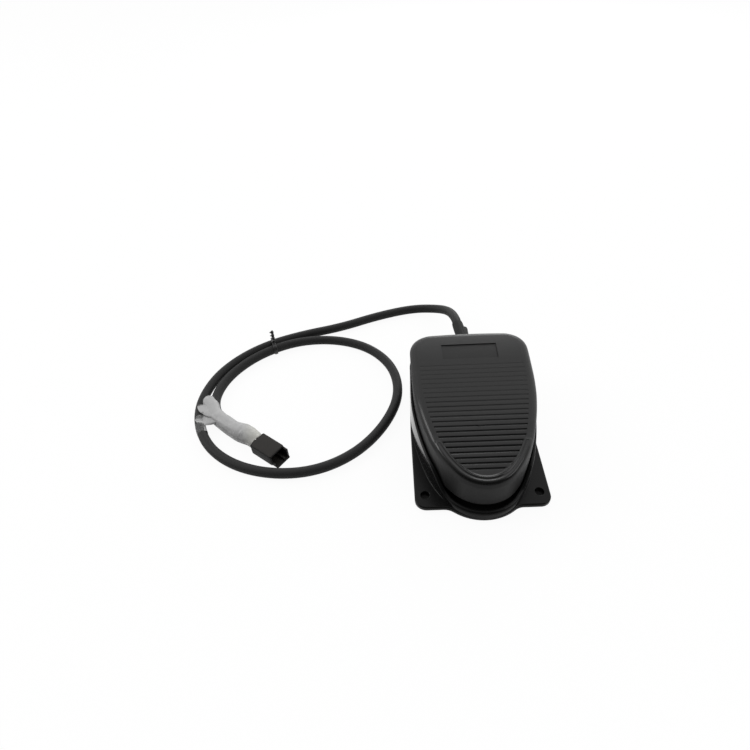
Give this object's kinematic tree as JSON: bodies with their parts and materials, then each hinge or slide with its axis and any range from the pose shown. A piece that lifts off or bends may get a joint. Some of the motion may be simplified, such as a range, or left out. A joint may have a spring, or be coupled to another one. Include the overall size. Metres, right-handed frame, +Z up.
{
  "type": "sewing machine foot pedal",
  "caption": "Low foot pedal with a ribbed, tapered treadle hinged at the rear over a tub base with screw ears, and a cord ending in a small connector.",
  "frame": {"origin": "under the middle of the base, on the surface that the feet stand on", "axes": "+Z up, -Y towards the toe, +Y towards the hinge and the cord's boot, +X to the right"},
  "size_m": [0.2405, 0.2077, 0.048],
  "materials": {
    "base_plastic": "satin moulded",
    "treadle_plastic": "fine moulded grain",
    "rubber": "matt",
    "steel": "ground",
    "spring_steel": "drawn",
    "zinc_steel": "zinc plated",
    "switch_plastic": "moulded",
    "plunger_plastic": "moulded",
    "brass": "tinned edge",
    "cord_jacket": "satin",
    "boot_rubber": "matt",
    "brown_insulation": "smooth",
    "blue_insulation": "smooth",
    "black_insulation": "smooth",
    "tan_insulation": "smooth",
    "tie_plastic": "smooth",
    "clear_film": "crumpled",
    "connector_plastic": "moulded"
  },
  "bodies": {
    "base": {"base_housing": "base_plastic", "rubber_feet": "rubber", "stop_pad": "rubber", "hinge_pin": "steel", "hinge_clips": "spring_steel", "return_spring": "spring_steel", "switch_body": "switch_plastic", "lever_pin": "steel", "switch_terminals": "brass", "crimp_receptacles": "brass", "switch_screws": "zinc_steel", "cord_clamp": "base_plastic", "clamp_screws": "zinc_steel", "cord_inner_end": "cord_jacket", "cord_boot": "boot_rubber", "lead_common": "brown_insulation", "lead_open": "blue_insulation", "lead_closed": "black_insulation", "cord": "cord_jacket", "cord_tie": "tie_plastic", "film_wrap": "clear_film", "connector_wires": "tan_insulation", "connector_housing": "connector_plastic", "connector_terminals": "brass"},
    "foot_plate": {"treadle": "treadle_plastic", "actuator_screw": "zinc_steel", "actuator_nut": "zinc_steel"},
    "lever": {"switch_lever": "spring_steel"},
    "plunger": {"switch_plunger": "plunger_plastic"}
  },
  "joints": [
    {"name": "treadle_press", "type": "hinge", "parent": "base", "child": "foot_plate", "pos_m": [0, 0.04835, 0.03], "axis": [1, 0, 0], "range_deg": [0, 3.2], "stiffness_Nm_per_rad": 6, "springref_deg": -2.86, "deforming": ["return_spring"]},
    {"name": "lever_swing", "type": "hinge", "parent": "base", "child": "lever", "pos_m": [0, 0.03035, 0.0293], "axis": [1, 0, 0], "range_deg": [0, 5.9]},
    {"name": "plunger_travel", "type": "slide", "parent": "base", "child": "plunger", "axis": [0, 0, 1], "range_m": [-0.00062, 0]}
  ],
  "couplings": [
    {"joint": "lever_swing", "follows": "treadle_press", "ratio": 1.8204},
    {"joint": "plunger_travel", "follows": "treadle_press", "m_per_rad": -0.010903}
  ]
}
